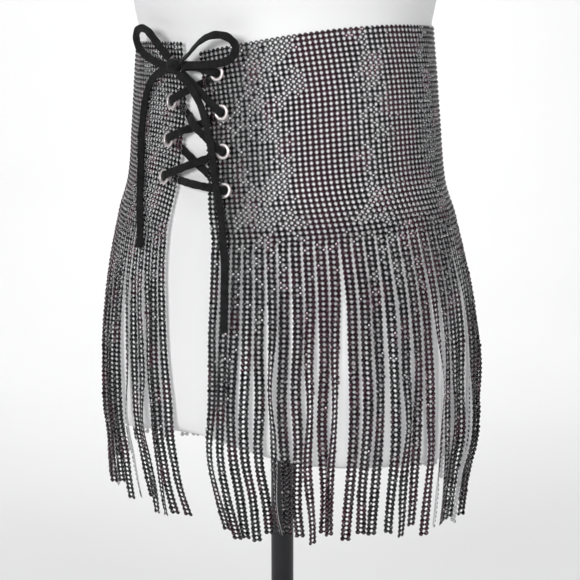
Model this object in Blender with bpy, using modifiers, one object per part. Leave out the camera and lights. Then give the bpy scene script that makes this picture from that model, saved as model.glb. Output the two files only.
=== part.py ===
"""Fringe belt of faceted-stone mesh, laced at the front, on a limbless dress form and stand.

Metres, +Z up. The origin is the centre of the base's underside. The lacing faces -Y.
Angles run round the form from the front towards +X.
"""
import bisect
import math
import random
from collections import namedtuple

import bmesh
import bpy
import numpy as np
from mathutils import Matrix, Vector

# Cloth thickness and the seam gap between pieces
WALL = 0.0024
SEAM = 0.0003

# Outer face of the cloth: an ellipse at each height
Level = namedtuple("Level", "height half_width half_depth")
CLOTH = (
    Level(0.170, 0.1602, 0.1154),
    Level(0.250, 0.1621, 0.1172),
    Level(0.310, 0.1621, 0.1178),
    Level(0.360, 0.1583, 0.1156),
    Level(0.390, 0.1519, 0.1128),
    Level(0.415, 0.1445, 0.1088),
    Level(0.440, 0.1356, 0.1034),
    Level(0.480, 0.1307, 0.1014),
    Level(0.520, 0.1267, 0.1000),
    Level(0.555, 0.1230, 0.0984),
    Level(0.580, 0.1230, 0.0984),
)

# Top and bottom edge of the belt, which dips towards the lacing, and how far the strands' tips curl in
Hem = namedtuple("Hem", "degrees top bottom curl")
BELT_LINE = (
    Hem(2, 0.5320, 0.4002, 0.020),
    Hem(13, 0.5356, 0.4010, 0.020),
    Hem(40, 0.5437, 0.4060, 0.012),
    Hem(60, 0.5482, 0.4096, 0.009),
    Hem(82, 0.5507, 0.4136, 0.006),
    Hem(180, 0.5540, 0.4190, 0.004),
    Hem(235, 0.5540, 0.4220, 0.004),
    Hem(270, 0.5520, 0.4200, 0.003),
    Hem(315, 0.5435, 0.4135, 0.001),
    Hem(345, 0.5405, 0.4078, 0.012),
    Hem(356, 0.5396, 0.4022, 0.020),
)

# Front gap: how far each panel's edge lies from the centre, down the belt
Edge = namedtuple("Edge", "down left right")
GAP = (
    Edge(0.00, -0.0114, 0.0054),
    Edge(0.30, -0.0058, 0.0120),
    Edge(0.50, -0.0090, 0.0138),
    Edge(0.75, -0.0142, 0.0170),
    Edge(1.00, -0.0185, 0.0258),
)
BELT_ROWS = (0.0, 0.22, 0.42, 0.58, 0.70, 0.79, 0.87)
BELT_COLUMNS = 88

# Fringe: a narrow strip under the belt and the strands that hang from it
STRANDS = 88
STRAND_WIDTH = 0.0074
STRAND_LENGTH = 0.218
STRAND_UNEVEN = 0.006
STRAND_STOPS = (0.0, 0.24, 0.48, 0.68, 0.85, 1.0)
STRIP_HEIGHT = 0.0070
STRIP_SEAM = 0.0010
STRAND_APART = 0.0008
CURL_START = 0.66
CURL_POWER = 1.5
CURL_UNEVEN = 0.25
TWIST_START = 0.50
TWIST_MOST = 55
TWIST_SHARE = 0.35
TWIST_SLIGHT = 0.15
WANDER = 0.0008
DRIFT_END = 0.60
SPREAD_PASSES = 60
SEED = 41

# Where neighbouring strands part, and where a group swings sideways
Parting = namedtuple("Parting", "degrees opening")
PARTINGS = (
    Parting(20, 0.003),
    Parting(34, 0.003),
    Parting(50, 0.006),
    Parting(64, 0.005),
    Parting(96, 0.003),
    Parting(140, 0.004),
    Parting(190, 0.004),
    Parting(238, 0.004),
    Parting(290, 0.003),
    Parting(334, 0.004),
)
PARTING_REACH = 0.030
SWING_PUSH = 0.011
SWING_REACH = 0.050

# Eyelets: four in each panel, a rolled ring in front and a flange behind
EYELETS = 4
EYELET_FIRST = 0.0150
EYELET_PITCH = 0.0271
EYELET_INSET = {"left": 0.0140, "right": 0.0155}
EYELET_BORE = 0.00375
EYELET_RING = 0.0060
EYELET_BARREL = 0.0044
EYELET_HOLE = 0.0047
EYELET_PROUD = 0.0013
EYELET_BACK = 0.0055
EYELET_BACK_THICK = 0.00055
EYELET_STEPS = 12

# Flat lace
LACE_WIDTH = 0.0055
LACE_THICK = 0.0015
LACE_OVER = 0.00115
LACE_UNDER = -0.00435
GAP_STOPS = (0.06, 0.3, 0.5, 0.84, 1.0)
EDGE_MARGIN = 0.002

# How a stretch meets its eyelet: distance past the bore's centre, and height off the cloth
Meet = namedtuple("Meet", "along out")
FROM_FRONT = (
    Meet(-0.0055, 0.00240),
    Meet(-0.0026, 0.00245),
    Meet(-0.0002, 0.00130),
    Meet(0.0009, -0.00020),
    Meet(0.0010, -0.00140),
)
FROM_BACK = (
    Meet(-0.0055, LACE_UNDER),
    Meet(0.0032, LACE_UNDER),
)

# Lacing stretches that cross the gap; the outs are read from the left edge to the right edge
Stretch = namedtuple("Stretch", "name left left_face right right_face outs")
LACING = (
    Stretch("lacing_1", 1, "front", 0, "back", (0.0011, 0.0004, -0.0006, -0.0030, -0.0037)),
    Stretch("lacing_2", 1, "back", 2, "front", (-0.0041, -0.0012, 0.0005, 0.0011, 0.00115)),
    Stretch("lacing_3", 3, "front", 2, "back", (0.0011, 0.0005, -0.0005, -0.0023, -0.0036)),
    Stretch("lacing_4", 3, "back", 3, "front", (-0.0040, -0.0015, 0.0000, 0.0010, 0.0011)),
    Stretch("lacing_5", 2, "back", 3, "back", (LACE_UNDER,) * 5),
    Stretch("lacing_6", 2, "front", 1, "back", (0.0016, -0.0030, -0.0039, -0.0043, LACE_UNDER)),
)

# Lace that leaves the knot; out is the height of its middle off the cloth
Place = namedtuple("Place", "across height out")
TO_FIRST_EYELET = (Place(-0.0060, 0.5217, 0.00115), Place(0.0080, 0.5210, 0.00120))
TO_SECOND_EYELET = (Place(-0.0066, 0.5180, 0.0029), Place(0.0080, 0.5070, 0.0029))
TAIL_RIGHT = (
    Place(-0.0086, 0.5162, 0.0048),
    Place(-0.0020, 0.5132, 0.0048),
    Place(0.0056, 0.5062, 0.0048),
    Place(0.0139, 0.4938, 0.0048),
    Place(0.0193, 0.4793, 0.0048),
    Place(0.0229, 0.4655, 0.0048),
    Place(0.0253, 0.4524, 0.0048),
    Place(0.0280, 0.4385, 0.0046),
    Place(0.0335, 0.4200, 0.0024),
    Place(0.0374, 0.4037, 0.0018),
    Place(0.0414, 0.3773, 0.0020),
    Place(0.0429, 0.3506, 0.0024),
    Place(0.0433, 0.3380, 0.0026),
)
TAIL_LEFT = (
    Place(-0.0198, 0.5205, 0.0026),
    Place(-0.0290, 0.5185, 0.0026),
    Place(-0.0385, 0.5160, 0.0018),
    Place(-0.0491, 0.5072, 0.0013),
    Place(-0.0558, 0.4915, 0.0013),
    Place(-0.0593, 0.4727, 0.0013),
    Place(-0.0596, 0.4541, 0.0013),
    Place(-0.0577, 0.4349, 0.0013),
    Place(-0.0510, 0.4171, 0.0016),
    Place(-0.0460, 0.4000, 0.0018),
    Place(-0.0448, 0.3904, 0.0020),
)
LOOP_RIGHT = (
    Place(-0.0046, 0.5256, 0.0066),
    Place(0.0012, 0.5290, 0.0068),
    Place(0.0078, 0.5335, 0.0072),
    Place(0.0144, 0.5388, 0.0080),
    Place(0.0215, 0.5420, 0.0088),
    Place(0.0277, 0.5431, 0.0090),
    Place(0.0348, 0.5416, 0.0086),
    Place(0.0397, 0.5382, 0.0080),
    Place(0.0423, 0.5337, 0.0072),
    Place(0.0408, 0.5287, 0.0062),
    Place(0.0355, 0.5248, 0.0055),
    Place(0.0270, 0.5232, 0.0050),
    Place(0.0150, 0.5226, 0.0047),
    Place(-0.0048, 0.5224, 0.0046),
)
LOOP_LEFT = (
    Place(-0.0192, 0.5310, 0.0068),
    Place(-0.0231, 0.5402, 0.0080),
    Place(-0.0325, 0.5496, 0.0098),
    Place(-0.0400, 0.5525, 0.0108),
    Place(-0.0500, 0.5523, 0.0108),
    Place(-0.0570, 0.5484, 0.0100),
    Place(-0.0592, 0.5424, 0.0090),
    Place(-0.0555, 0.5364, 0.0078),
    Place(-0.0464, 0.5296, 0.0062),
    Place(-0.0328, 0.5250, 0.0050),
    Place(-0.0192, 0.5238, 0.0046),
)
KNOT = Place(-0.0121, 0.5225, 0.0050)
KNOT_CAGE = (0.0150, 0.0125, 0.0088)

# Dress form where the cloth covers it: how far it lies inside the cloth's outer face
Inside = namedtuple("Inside", "height inside front_ease")
FORM_COVERED = (
    Inside(0.2420, 0.0200, 0.0),
    Inside(0.2430, 0.0115, 0.0),
    Inside(0.2480, 0.0068, 0.0),
    Inside(0.2600, 0.0054, 0.0),
    Inside(0.3000, 0.0048, 0.0),
    Inside(0.3350, 0.0046, 0.0010),
    Inside(0.3650, 0.0045, 0.0020),
    Inside(0.3880, 0.0044, 0.0028),
    Inside(0.4020, 0.0040, 0.0033),
    Inside(0.4150, 0.0036, 0.0033),
    Inside(0.4280, 0.0033, 0.0033),
    Inside(0.4420, 0.0032, 0.0033),
    Inside(0.4600, 0.0032, 0.0033),
    Inside(0.4850, 0.0031, 0.0033),
    Inside(0.5200, 0.0031, 0.0033),
    Inside(0.5400, 0.0031, 0.0030),
    Inside(0.5550, 0.0031, 0.0022),
)
FRONT_EASE_POWER = 8
FRONT_RISE = 0.0145
FRONT_RISE_POWER = 21
FRONT_RISE_TOP = 0.340

# Dress form above the cloth, up to the flat top of the neck
Torso = namedtuple("Torso", "height half_width half_depth back")
FORM_BARE = (
    Torso(0.566, 0.1228, 0.0982, 0.000),
    Torso(0.590, 0.1262, 0.1010, 0.000),
    Torso(0.640, 0.1345, 0.1060, -0.001),
    Torso(0.700, 0.1450, 0.1130, -0.004),
    Torso(0.750, 0.1515, 0.1140, -0.004),
    Torso(0.800, 0.1545, 0.1040, 0.002),
    Torso(0.840, 0.1500, 0.0910, 0.008),
    Torso(0.866, 0.1320, 0.0790, 0.012),
    Torso(0.884, 0.1010, 0.0670, 0.014),
    Torso(0.898, 0.0700, 0.0570, 0.014),
    Torso(0.914, 0.0560, 0.0530, 0.013),
    Torso(0.960, 0.0530, 0.0520, 0.011),
    Torso(0.967, 0.0500, 0.0490, 0.011),
)
FORM_SIDES = 40
UNDERSIDE_SHRINK = 0.55

# Stand
POLE_RADIUS = 0.0090
SOCKET_RADIUS = 0.0094
POLE_IN_FORM = 0.060
POLE_SIDES = 24
FORM_UNDERSIDE = 0.242
SOCKET_FLOOR = 0.0080
BOSS_TOP = 0.034
BOSS_RADIUS = 0.0180
PLATE_RADIUS = 0.165
PLATE_THICK = 0.006
PLATE_EDGE = 0.0015
PLATE_SIDES = 40

# Finishes: base colour, metallic, roughness
Finish = namedtuple("Finish", "colour metallic roughness")
FINISHES = {
    "black_stone_mesh": Finish((0.020, 0.019, 0.021), 0.3, 0.25),
    "suede_lace": Finish((0.012, 0.012, 0.013), 0.0, 0.95),
    "nickel": Finish((0.62, 0.60, 0.60), 1.0, 0.28),
    "white_form": Finish((0.83, 0.83, 0.84), 0.0, 0.55),
    "black_stand": Finish((0.018, 0.018, 0.020), 0.4, 0.45),
}


def smooth_through(xs, ys, x):
    """Cubic through the points (xs, ys), each slope taken from the two neighbours."""
    k = min(max(bisect.bisect_right(xs, x) - 1, 0), len(xs) - 2)
    span = xs[k + 1] - xs[k]
    t = min(max((x - xs[k]) / span, 0.0), 1.0)

    def slope(i):
        low = max(i - 1, 0)
        high = min(i + 1, len(xs) - 1)
        return (ys[high] - ys[low]) / (xs[high] - xs[low])

    start = (1 + 2 * t) * (1 - t) ** 2 * ys[k] + t * (1 - t) ** 2 * span * slope(k)
    return start + t * t * (3 - 2 * t) * ys[k + 1] + t * t * (t - 1) * span * slope(k + 1)


def read_table(table, key, column, x):
    """One column of a table, read smoothly at x along its key column."""
    xs = [getattr(row, key) for row in table]
    ys = [getattr(row, column) for row in table]
    return smooth_through(xs, ys, x)


def ease_in(start, end, x):
    """0 before start, 1 after end, smooth between."""
    t = min(max((x - start) / (end - start), 0.0), 1.0)
    return t * t * (3 - 2 * t)


def front_weight(angle, power):
    """1 at the front, falling to 0 at the back."""
    return ((1 + math.cos(angle)) / 2) ** power


def ellipse_point(angle, half_width, half_depth, height):
    return Vector((half_width * math.sin(angle), -half_depth * math.cos(angle), height))


def cloth_surface(angle, height):
    half_width = read_table(CLOTH, "height", "half_width", height)
    half_depth = read_table(CLOTH, "height", "half_depth", height)
    return ellipse_point(angle, half_width, half_depth, height)


def cloth_normal(angle, height):
    step = 0.001
    along = cloth_surface(angle + step, height) - cloth_surface(angle - step, height)
    up = cloth_surface(angle, height + step) - cloth_surface(angle, height - step)
    return along.cross(up).normalized()


def cloth_point(angle, height, out=0.0):
    return cloth_surface(angle, height) + cloth_normal(angle, height) * out


def front_angle(across, height):
    """Angle of a point on the front of the cloth, from its distance off the centre."""
    return math.asin(across / read_table(CLOTH, "height", "half_width", height))


def belt_top(angle):
    return read_table(BELT_LINE, "degrees", "top", math.degrees(angle) % 360)


def belt_bottom(angle):
    return read_table(BELT_LINE, "degrees", "bottom", math.degrees(angle) % 360)


def belt_height(angle, down):
    return belt_top(angle) + (belt_bottom(angle) - belt_top(angle)) * down


def edge_angle(side, down):
    """Angle of a panel's front edge, down the belt."""
    across = read_table(GAP, "down", side, down)
    rough = across / CLOTH[-1].half_width
    angle = front_angle(across, belt_height(rough, down))
    return angle if side == "right" else angle + 2 * math.pi


def edge_across(side, height):
    """How far a panel's front edge lies from the centre at a height."""
    near = edge_angle(side, 0.0)
    down = (belt_top(near) - height) / (belt_top(near) - belt_bottom(near))
    return read_table(GAP, "down", side, down)


def arc_lengths(count=720):
    """Arc length round the cloth at the belt's lower edge, against the angle."""
    angles = np.linspace(0, 2 * math.pi, count + 1)
    points = [cloth_surface(angle, belt_bottom(angle)) for angle in angles]
    steps = [(b - a).length for a, b in zip(points, points[1:])]
    return angles, np.concatenate([[0.0], np.cumsum(steps)])


ARC_ANGLES, ARC_LENGTHS = arc_lengths()


def arc_to_angle(arc):
    return float(np.interp(arc, ARC_LENGTHS, ARC_ANGLES))


def angle_to_arc(angle):
    return float(np.interp(angle, ARC_ANGLES, ARC_LENGTHS))


def panel_angle(fraction, down):
    """Angle at a fraction of the way round the belt, from the right edge to the left edge."""
    first = angle_to_arc(edge_angle("right", 1.0))
    last = angle_to_arc(edge_angle("left", 1.0))
    at_bottom = arc_to_angle(first + (last - first) * fraction)
    shift_right = edge_angle("right", down) - edge_angle("right", 1.0)
    shift_left = edge_angle("left", down) - edge_angle("left", 1.0)
    return at_bottom + shift_right * (1 - fraction) + shift_left * fraction


def make_material(name):
    finish = FINISHES[name]
    material = bpy.data.materials.get(name) or bpy.data.materials.new(name)
    material.use_nodes = True
    shader = material.node_tree.nodes["Principled BSDF"]
    shader.inputs["Base Color"].default_value = (*finish.colour, 1.0)
    shader.inputs["Metallic"].default_value = finish.metallic
    shader.inputs["Roughness"].default_value = finish.roughness
    return material


def make_object(name, bm, finish, collection, smooth=True):
    mesh = bpy.data.meshes.new(name)
    bm.normal_update()
    bm.to_mesh(mesh)
    bm.free()
    obj = bpy.data.objects.new(name, mesh)
    collection.objects.link(obj)
    mesh.materials.append(make_material(finish))
    if smooth:
        mesh.shade_smooth()
    return obj


def add_wall(obj, thickness, offset):
    """Give an open sheet its thickness."""
    wall = obj.modifiers.new("wall", "SOLIDIFY")
    wall.thickness = thickness
    wall.offset = offset
    return wall


def sheet_from_rows(rows):
    """Open sheet through rows of points; its faces look out from the form."""
    bm = bmesh.new()
    grid = [[bm.verts.new(point) for point in row] for row in rows]
    for upper, lower in zip(grid, grid[1:]):
        for k in range(len(upper) - 1):
            bm.faces.new((upper[k], lower[k], lower[k + 1], upper[k + 1]))
    return bm


def closed_loft(rings):
    """Closed solid through rings of equal count, capped at both ends."""
    bm = bmesh.new()
    loops = [[bm.verts.new(point) for point in ring] for ring in rings]
    count = len(loops[0])
    for lower, upper in zip(loops, loops[1:]):
        for k in range(count):
            n = (k + 1) % count
            bm.faces.new((lower[k], lower[n], upper[n], upper[k]))
    bm.faces.new(list(reversed(loops[0])))
    bm.faces.new(loops[-1])
    return bm


def turned(name, profile, closed, steps, finish, collection):
    """Solid of revolution about Z; the profile runs down its outer side."""
    bm = bmesh.new()
    verts = [bm.verts.new((radius, 0.0, height)) for radius, height in profile]
    ends = verts[1:] + verts[:1] if closed else verts[1:]
    for a, b in zip(verts, ends):
        bm.edges.new((a, b))
    obj = make_object(name, bm, finish, collection, smooth=False)
    screw = obj.modifiers.new("turn", "SCREW")
    screw.axis = "Z"
    screw.angle = 2 * math.pi
    screw.steps = steps
    screw.render_steps = steps
    screw.use_merge_vertices = True
    screw.merge_threshold = 0.00005
    screw.use_smooth_shade = True
    return obj


def eyelet_place(side, row):
    """Distance off the centre and height of an eyelet's centre."""
    height = belt_top(edge_angle(side, 0.0)) - EYELET_FIRST - EYELET_PITCH * row
    inset = EYELET_INSET[side] if side == "right" else -EYELET_INSET[side]
    return edge_across(side, height) + inset, height


def eyelet_frame(side, row):
    """World matrix at an eyelet's centre on the cloth, Z pointing out."""
    across, height = eyelet_place(side, row)
    angle = front_angle(across, height)
    turn = cloth_normal(angle, height).to_track_quat("Z", "Y").to_matrix().to_4x4()
    return Matrix.Translation(cloth_point(angle, height)) @ turn


def make_belt(collection, cutters):
    """The mesh band, from one front edge round the back to the other."""
    rows = []
    for down in BELT_ROWS:
        angles = [panel_angle(column / BELT_COLUMNS, down) for column in range(BELT_COLUMNS + 1)]
        rows.append([cloth_point(angle, belt_height(angle, down)) for angle in angles])
    angles = [panel_angle(column / BELT_COLUMNS, 1.0) for column in range(BELT_COLUMNS + 1)]
    rows.append([cloth_point(angle, belt_bottom(angle) + STRIP_HEIGHT + STRIP_SEAM) for angle in angles])
    belt = make_object("belt_band", sheet_from_rows(rows), "black_stone_mesh", collection)
    add_wall(belt, WALL, -1.0)
    cut = belt.modifiers.new("eyelet_holes", "BOOLEAN")
    cut.operation = "DIFFERENCE"
    cut.solver = "EXACT"
    cut.object = make_eyelet_cutter(cutters)
    return belt


def make_eyelet_cutter(cutters):
    bm = bmesh.new()
    for side in ("left", "right"):
        for row in range(EYELETS):
            bmesh.ops.create_cone(
                bm, cap_ends=True, segments=EYELET_STEPS, radius1=EYELET_HOLE,
                radius2=EYELET_HOLE, depth=5 * WALL, matrix=eyelet_frame(side, row))
    cutter = make_object("eyelet_cutter", bm, "nickel", cutters, smooth=False)
    cutter.hide_render = True
    cutter.display_type = "WIRE"
    return cutter


def make_eyelets(collection):
    back = -WALL - SEAM
    profile = [
        (EYELET_BORE + 0.0007, EYELET_PROUD),
        (EYELET_RING - 0.0006, EYELET_PROUD - 0.0001),
        (EYELET_RING, SEAM + 0.0003),
        (EYELET_RING - 0.0002, SEAM),
        (EYELET_BARREL, SEAM),
        (EYELET_BARREL, back),
        (EYELET_BACK, back),
        (EYELET_BACK, back - EYELET_BACK_THICK),
        (EYELET_BORE, back - EYELET_BACK_THICK),
        (EYELET_BORE, EYELET_PROUD - 0.0007),
    ]
    first = turned("eyelet_left_1", profile, True, EYELET_STEPS, "nickel", collection)
    for side in ("left", "right"):
        for row in range(EYELETS):
            name = f"eyelet_{side}_{row + 1}"
            eyelet = first
            if name != first.name:
                eyelet = first.copy()
                eyelet.name = name
                collection.objects.link(eyelet)
            eyelet.matrix_world = eyelet_frame(side, row)


def strand_spread(rng):
    """Arc place of every strand's middle at each stop, kept clear of its neighbours."""
    first = angle_to_arc(edge_angle("right", 1.0)) + STRAND_WIDTH / 2
    last = angle_to_arc(edge_angle("left", 1.0)) - STRAND_WIDTH / 2
    roots = np.linspace(first, last, STRANDS)
    wander = np.array([rng.uniform(-1, 1) for _ in range(STRANDS)]) * WANDER
    places = []
    for stop in STRAND_STOPS:
        grow = ease_in(0.0, DRIFT_END, stop)
        row = roots + wander * grow
        for parting in PARTINGS:
            off = roots - angle_to_arc(math.radians(parting.degrees))
            row = row + np.sign(off) * np.exp(-np.abs(off) / PARTING_REACH) * parting.opening / 2 * grow
        row = row + SWING_PUSH * np.exp(-((last - roots) / SWING_REACH) ** 2) * grow
        for _ in range(SPREAD_PASSES):
            short = np.clip(STRAND_WIDTH + STRAND_APART - np.diff(row), 0.0, None)
            row[:-1] -= short / 2
            row[1:] += short / 2
        places.append(row)
    return places


def strand_edges(angle, height, curl, twist):
    """Left and right edge of a strand, seen from outside, turned about its own length."""
    normal = cloth_normal(angle, height)
    sideways = Vector((0, 0, 1)).cross(normal).normalized()
    turned_side = Matrix.Rotation(twist, 3, "Z") @ sideways
    inward = Vector((-normal.x, -normal.y, 0)).normalized()
    middle = cloth_surface(angle, height) + inward * curl
    return middle - turned_side * STRAND_WIDTH / 2, middle + turned_side * STRAND_WIDTH / 2


def make_fringe(collection):
    """The strip and its strands as one open sheet, given the cloth's thickness."""
    rng = random.Random(SEED)
    places = strand_spread(rng)
    lengths = [STRAND_LENGTH + rng.uniform(-1, 1) * STRAND_UNEVEN for _ in range(STRANDS)]
    curls = [1 + rng.uniform(-1, 1) * CURL_UNEVEN for _ in range(STRANDS)]
    twists = []
    for _ in range(STRANDS):
        share = rng.random()
        turn = rng.uniform(-TWIST_MOST, TWIST_MOST)
        twists.append(math.radians(turn if share < TWIST_SHARE else turn * TWIST_SLIGHT))
    bm = bmesh.new()
    top_row = []
    root_row = []
    for k in range(STRANDS):
        root_angle = arc_to_angle(places[0][k])
        root = belt_bottom(root_angle)
        top_row.append([bm.verts.new(p) for p in strand_edges(root_angle, root + STRIP_HEIGHT, 0, 0)])
        above = [bm.verts.new(p) for p in strand_edges(root_angle, root, 0, 0)]
        root_row.append(above)
        bm.faces.new((top_row[k][0], above[0], above[1], top_row[k][1]))
        if k:
            bm.faces.new((top_row[k - 1][1], root_row[k - 1][1], above[0], top_row[k][0]))
        reach = read_table(BELT_LINE, "degrees", "curl", math.degrees(root_angle) % 360)
        for stop, row in zip(STRAND_STOPS[1:], places[1:]):
            curl = reach * curls[k] * max((stop - CURL_START) / (1 - CURL_START), 0) ** CURL_POWER
            twist = twists[k] * ease_in(TWIST_START, 1.0, stop)
            angle = arc_to_angle(row[k])
            below = [bm.verts.new(p) for p in
                     strand_edges(angle, root - lengths[k] * stop, curl, twist)]
            bm.faces.new((above[0], below[0], below[1], above[1]))
            above = below
    fringe = make_object("fringe", bm, "black_stone_mesh", collection, smooth=False)
    add_wall(fringe, WALL - 0.0002, -1.0)
    return fringe


def smooth_places(places, steps):
    """Places along a smooth curve through the given ones."""
    keys = list(range(len(places)))
    result = []
    for i in range((len(places) - 1) * steps + 1):
        at = i / steps
        result.append(Place(*(smooth_through(keys, [p[c] for p in places], at) for c in range(3))))
    return result


def place_point(place):
    return cloth_point(front_angle(place.across, place.height), place.height, place.out)


def place_normal(place):
    return cloth_normal(front_angle(place.across, place.height), place.height)


def make_ribbon(name, places, collection, straight=False, steps=2):
    """Flat lace along places; its sides lie along the cloth, square to its run."""
    if not straight:
        places = smooth_places(places, steps)
    points = [place_point(place) for place in places]
    lefts = []
    rights = []
    for k, point in enumerate(points):
        if straight:
            run = points[-1] - points[0]
        else:
            run = points[min(k + 1, len(points) - 1)] - points[max(k - 1, 0)]
        side = run.cross(place_normal(places[k])).normalized() * LACE_WIDTH / 2
        lefts.append(point - side)
        rights.append(point + side)
    ribbon = make_object(name, sheet_from_rows([lefts, rights]), "suede_lace", collection, smooth=False)
    add_wall(ribbon, LACE_THICK, 0.0)
    return ribbon


def stretch_places(stretch):
    """Places of a lacing stretch, from its left eyelet across the gap to its right eyelet."""
    left = Vector(eyelet_place("left", stretch.left))
    right = Vector(eyelet_place("right", stretch.right))
    length = (right - left).length
    run = (right - left) / length
    meets = {"front": FROM_FRONT, "back": FROM_BACK}
    level = {"front": LACE_OVER, "back": LACE_UNDER}

    def at(distance, out):
        spot = left + run * distance
        return Place(spot.x, spot.y, out)

    def edge_distance(side, guess):
        distance = guess
        for _ in range(4):
            spot = left + run * distance
            distance += (edge_across(side, spot.y) - spot.x) / run.x
        return distance

    leave = edge_distance("left", 0.3 * length)
    arrive = edge_distance("right", 0.7 * length)
    places = [at(-meet.along, meet.out) for meet in reversed(meets[stretch.left_face])]
    places.append(at(leave - EDGE_MARGIN, level[stretch.left_face]))
    for share, out in zip(GAP_STOPS, stretch.outs):
        places.append(at(leave + (arrive - leave) * share, out))
    places.append(at(arrive + EDGE_MARGIN, level[stretch.right_face]))
    places += [at(length + meet.along, meet.out) for meet in meets[stretch.right_face]]
    return places


def into_eyelet(start_places, row):
    """Places of lace that runs from the knot into the front of a right eyelet."""
    end = Vector(eyelet_place("right", row))
    start = Vector((start_places[-1].across, start_places[-1].height))
    run = (end - start).normalized()
    places = list(start_places)
    for meet in FROM_FRONT:
        spot = end + run * meet.along
        places.append(Place(spot.x, spot.y, meet.out))
    return places


def make_lace(collection):
    for stretch in LACING:
        make_ribbon(stretch.name, stretch_places(stretch), collection, straight=True)
    make_ribbon("lacing_top", into_eyelet(TO_FIRST_EYELET, 0), collection, straight=True)
    make_ribbon("lacing_second", into_eyelet(TO_SECOND_EYELET, 1), collection, straight=True)
    make_ribbon("tail_right", TAIL_RIGHT, collection)
    make_ribbon("tail_left", TAIL_LEFT, collection)
    make_ribbon("loop_right", LOOP_RIGHT, collection)
    make_ribbon("loop_left", LOOP_LEFT, collection)
    make_knot(collection)


def make_knot(collection):
    """The bow's knot, rounded from a block."""
    bm = bmesh.new()
    bmesh.ops.create_cube(bm, size=1.0)
    bmesh.ops.scale(bm, vec=KNOT_CAGE, verts=bm.verts)
    knot = make_object("lace_knot", bm, "suede_lace", collection)
    turn = place_normal(KNOT).to_track_quat("Z", "Y").to_matrix().to_4x4()
    knot.matrix_world = Matrix.Translation(place_point(KNOT)) @ turn
    rounding = knot.modifiers.new("rounding", "SUBSURF")
    rounding.levels = 2
    rounding.render_levels = 2


def form_ring_covered(level):
    """Ring of the form inside the cloth, set back at the front for the lacing."""
    half_width = read_table(CLOTH, "height", "half_width", level.height) - level.inside
    half_depth = read_table(CLOTH, "height", "half_depth", level.height) - level.inside
    ring = []
    for k in range(FORM_SIDES):
        angle = 2 * math.pi * k / FORM_SIDES
        point = ellipse_point(angle, half_width, half_depth, level.height)
        point.y += level.front_ease * front_weight(angle, FRONT_EASE_POWER)
        fade = 1.0 - ease_in(FORM_UNDERSIDE, FRONT_RISE_TOP, level.height)
        point.z += FRONT_RISE * front_weight(angle, FRONT_RISE_POWER) * fade
        ring.append(point)
    return ring


def plain_ring(half_width, half_depth, height, back=0.0):
    angles = [2 * math.pi * k / FORM_SIDES for k in range(FORM_SIDES)]
    return [ellipse_point(angle, half_width, half_depth, height) + Vector((0, back, 0)) for angle in angles]


def make_form(collection):
    """Limbless torso, from the pole's socket out to its lower edge and up to the neck."""
    lowest = FORM_COVERED[0]
    base_width = read_table(CLOTH, "height", "half_width", lowest.height)
    base_depth = read_table(CLOTH, "height", "half_depth", lowest.height)
    rings = [
        plain_ring(SOCKET_RADIUS, SOCKET_RADIUS, FORM_UNDERSIDE + POLE_IN_FORM),
        plain_ring(SOCKET_RADIUS, SOCKET_RADIUS, FORM_UNDERSIDE),
        plain_ring(base_width * UNDERSIDE_SHRINK, base_depth * UNDERSIDE_SHRINK, FORM_UNDERSIDE),
    ]
    rings += [form_ring_covered(level) for level in FORM_COVERED]
    rings += [plain_ring(row.half_width, row.half_depth, row.height, row.back) for row in FORM_BARE]
    return make_object("dress_form", closed_loft(rings), "white_form", collection)


def make_stand(collection):
    plate = [
        (0.0, SOCKET_FLOOR),
        (SOCKET_RADIUS, SOCKET_FLOOR),
        (SOCKET_RADIUS, BOSS_TOP),
        (BOSS_RADIUS, BOSS_TOP),
        (BOSS_RADIUS + PLATE_EDGE, BOSS_TOP - PLATE_EDGE),
        (BOSS_RADIUS + PLATE_EDGE, PLATE_THICK + PLATE_EDGE),
        (BOSS_RADIUS + 3 * PLATE_EDGE, PLATE_THICK),
        (PLATE_RADIUS - PLATE_EDGE, PLATE_THICK),
        (PLATE_RADIUS, PLATE_THICK - PLATE_EDGE),
        (PLATE_RADIUS, 0.0),
        (0.0, 0.0),
    ]
    turned("base_plate", plate, False, PLATE_SIDES, "black_stand", collection)
    bottom = SOCKET_FLOOR + SEAM
    top = FORM_UNDERSIDE + POLE_IN_FORM - SEAM
    bm = bmesh.new()
    bmesh.ops.create_cone(
        bm, cap_ends=True, segments=POLE_SIDES, radius1=POLE_RADIUS, radius2=POLE_RADIUS,
        depth=top - bottom, matrix=Matrix.Translation((0, 0, (top + bottom) / 2)))
    make_object("pole", bm, "black_stand", collection)


def main():
    for obj in list(bpy.data.objects):
        bpy.data.objects.remove(obj, do_unlink=True)
    collection = bpy.data.collections.new("fringe_belt")
    cutters = bpy.data.collections.new("cutters")
    bpy.context.scene.collection.children.link(collection)
    bpy.context.scene.collection.children.link(cutters)
    make_belt(collection, cutters)
    make_fringe(collection)
    make_eyelets(collection)
    make_lace(collection)
    make_form(collection)
    make_stand(collection)


main()
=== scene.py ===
import math
import random

import bmesh
import bpy
import numpy as np
from mathutils import Matrix, Vector


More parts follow.
